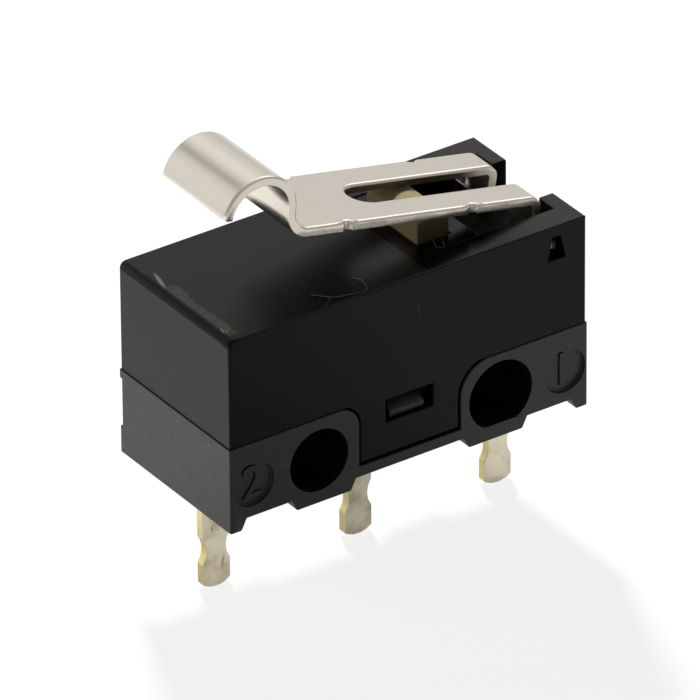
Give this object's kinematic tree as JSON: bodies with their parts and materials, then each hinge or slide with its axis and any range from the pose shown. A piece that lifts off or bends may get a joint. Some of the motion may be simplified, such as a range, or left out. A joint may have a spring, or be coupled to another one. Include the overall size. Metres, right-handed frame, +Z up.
{
  "type": "snap action switch",
  "caption": "Small black snap action switch for a circuit board, with a hinged metal lever curled at its end, a plunger under it, mounting holes and solder terminals.",
  "frame": {"origin": "midway between the two mounting holes, on the line through their centres, in the middle of the case", "axes": "+Z up from the circuit board, +X along the case towards the lever's hinge, Y along the mounting holes"},
  "size_m": [0.0128, 0.0058, 0.0143],
  "materials": {
    "base_pbt": "fine moulded texture, black",
    "cover_pbt": "fine moulded texture, black",
    "plunger_acetal": "smooth moulded, cream",
    "lever_stainless": "satin rolled strip, sheared edges",
    "terminal_plate": "dull plated strip, bare yellow cut edges",
    "contact_silver": "satin silver alloy",
    "leaf_copper": "rolled copper alloy spring strip"
  },
  "bodies": {
    "case": {"base": "base_pbt", "cover": "cover_pbt", "common_terminal": "terminal_plate", "normally_open_terminal": "terminal_plate", "normally_closed_terminal": "terminal_plate", "no_contact": "contact_silver", "nc_contact": "contact_silver"},
    "lever": {"lever": "lever_stainless"},
    "plunger": {"plunger": "plunger_acetal"},
    "contact_arm": {"leaf_spring": "leaf_copper", "moving_contact": "contact_silver"}
  },
  "joints": [
    {"name": "lever_pivot", "type": "hinge", "parent": "case", "child": "lever", "pos_m": [0.0053, 0, 0.00427], "axis": [0, -1, 0], "range_deg": [0, 10.5], "stiffness_Nm_per_rad": 0.024},
    {"name": "plunger_slide", "type": "slide", "parent": "case", "child": "plunger", "axis": [0, 0, -1], "range_m": [0, 0.000615]},
    {"name": "contact_snap", "type": "hinge", "parent": "case", "child": "contact_arm", "pos_m": [0.00541, 0, 0.00275], "axis": [0, -1, 0], "range_deg": [0, 2.6], "stiffness_Nm_per_rad": 0.000002, "springref_deg": -34.95, "deforming": ["leaf_spring"]}
  ],
  "couplings": [
    {"joint": "lever_pivot", "follows": "plunger_slide", "rad_per_m": 297.6},
    {"joint": "contact_snap", "follows": "plunger_slide", "rad_per_m": 73.6}
  ]
}
